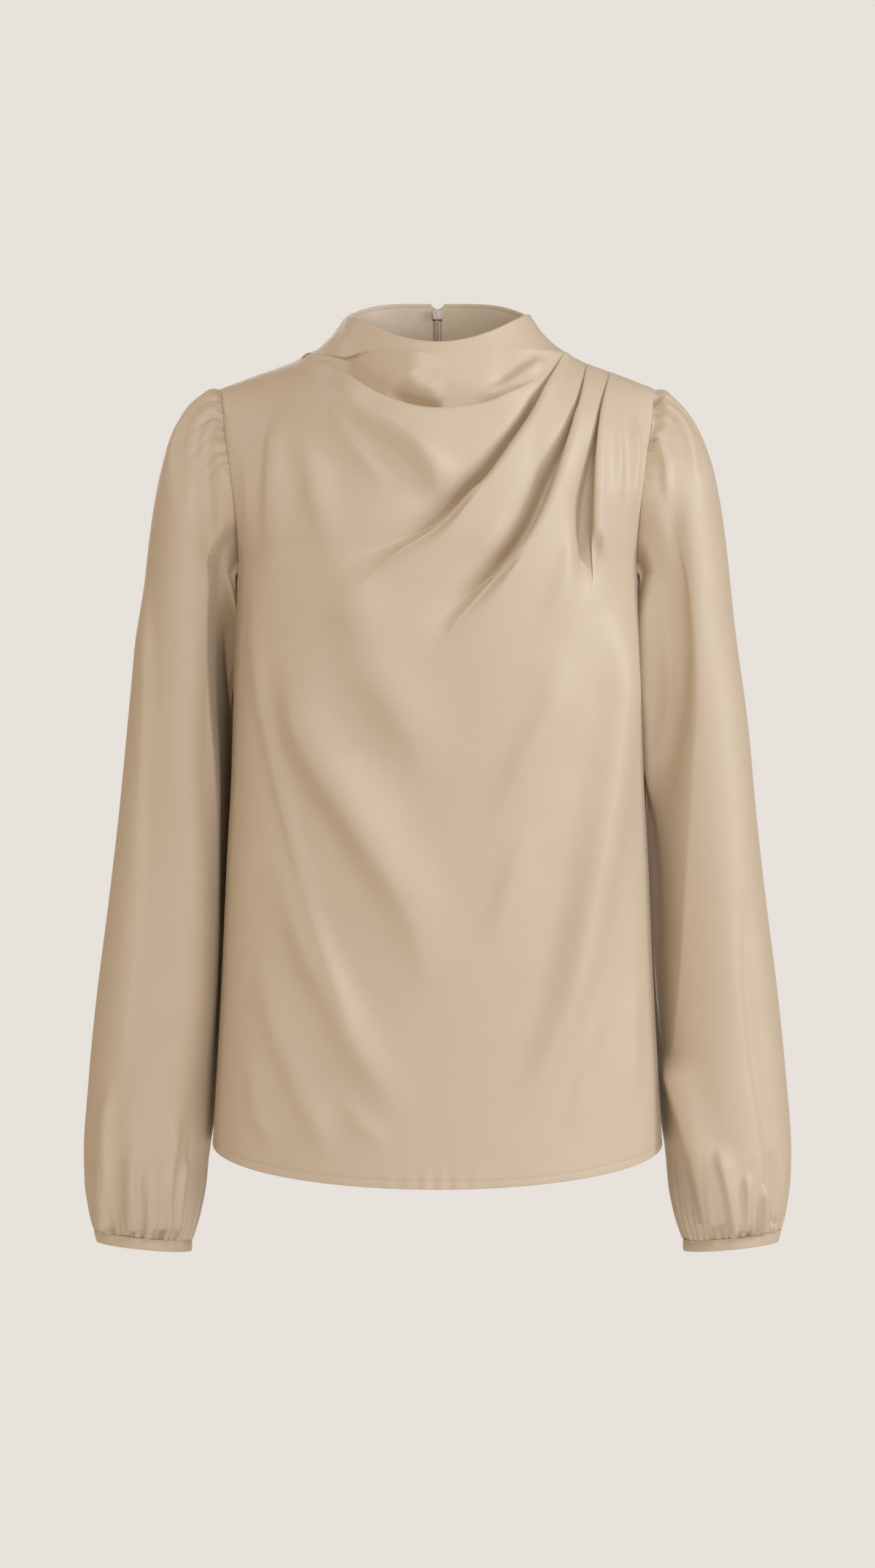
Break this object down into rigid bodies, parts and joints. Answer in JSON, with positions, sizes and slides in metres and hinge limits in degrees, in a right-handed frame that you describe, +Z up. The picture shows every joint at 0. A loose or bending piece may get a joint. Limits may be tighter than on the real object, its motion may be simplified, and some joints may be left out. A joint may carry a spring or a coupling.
{
  "type": "draped blouse",
  "caption": "Hollow, worn-shape draped blouse with a cowl neck, pleated shoulder, gathered bishop sleeves, narrow cuffs and a centre-back invisible zip with a hinged pull tab.",
  "frame": {"origin": "on the shoulder line where the wearer carries the blouse, midway between the two neck bases", "axes": "+X towards the wearer's left, -Y towards the front, +Z up"},
  "size_m": [0.5636, 0.2435, 0.7594],
  "materials": {
    "crepe_satin": "beige crepe-backed satin, fine diagonal grain, soft low sheen",
    "zip_tape": "woven polyester tape, matt",
    "zip_coil": "nylon coil, satin",
    "zip_enamel": "beige enamel, satin"
  },
  "bodies": {
    "blouse": {"front_panel": "crepe_satin", "back_left": "crepe_satin", "back_right": "crepe_satin", "sleeve_left": "crepe_satin", "sleeve_right": "crepe_satin", "cuff_left": "crepe_satin", "cuff_right": "crepe_satin", "zip_tape_left": "zip_tape", "zip_tape_right": "zip_tape", "zip_coil_left": "zip_coil", "zip_coil_right": "zip_coil", "zip_slider": "zip_enamel"},
    "zip_pull": {"zip_pull": "zip_enamel"}
  },
  "joints": [
    {"name": "pull_swing", "type": "hinge", "parent": "blouse", "child": "zip_pull", "pos_m": [0, 0.07232, 0.041], "axis": [1, 0, 0], "range_deg": [0, 165]}
  ]
}
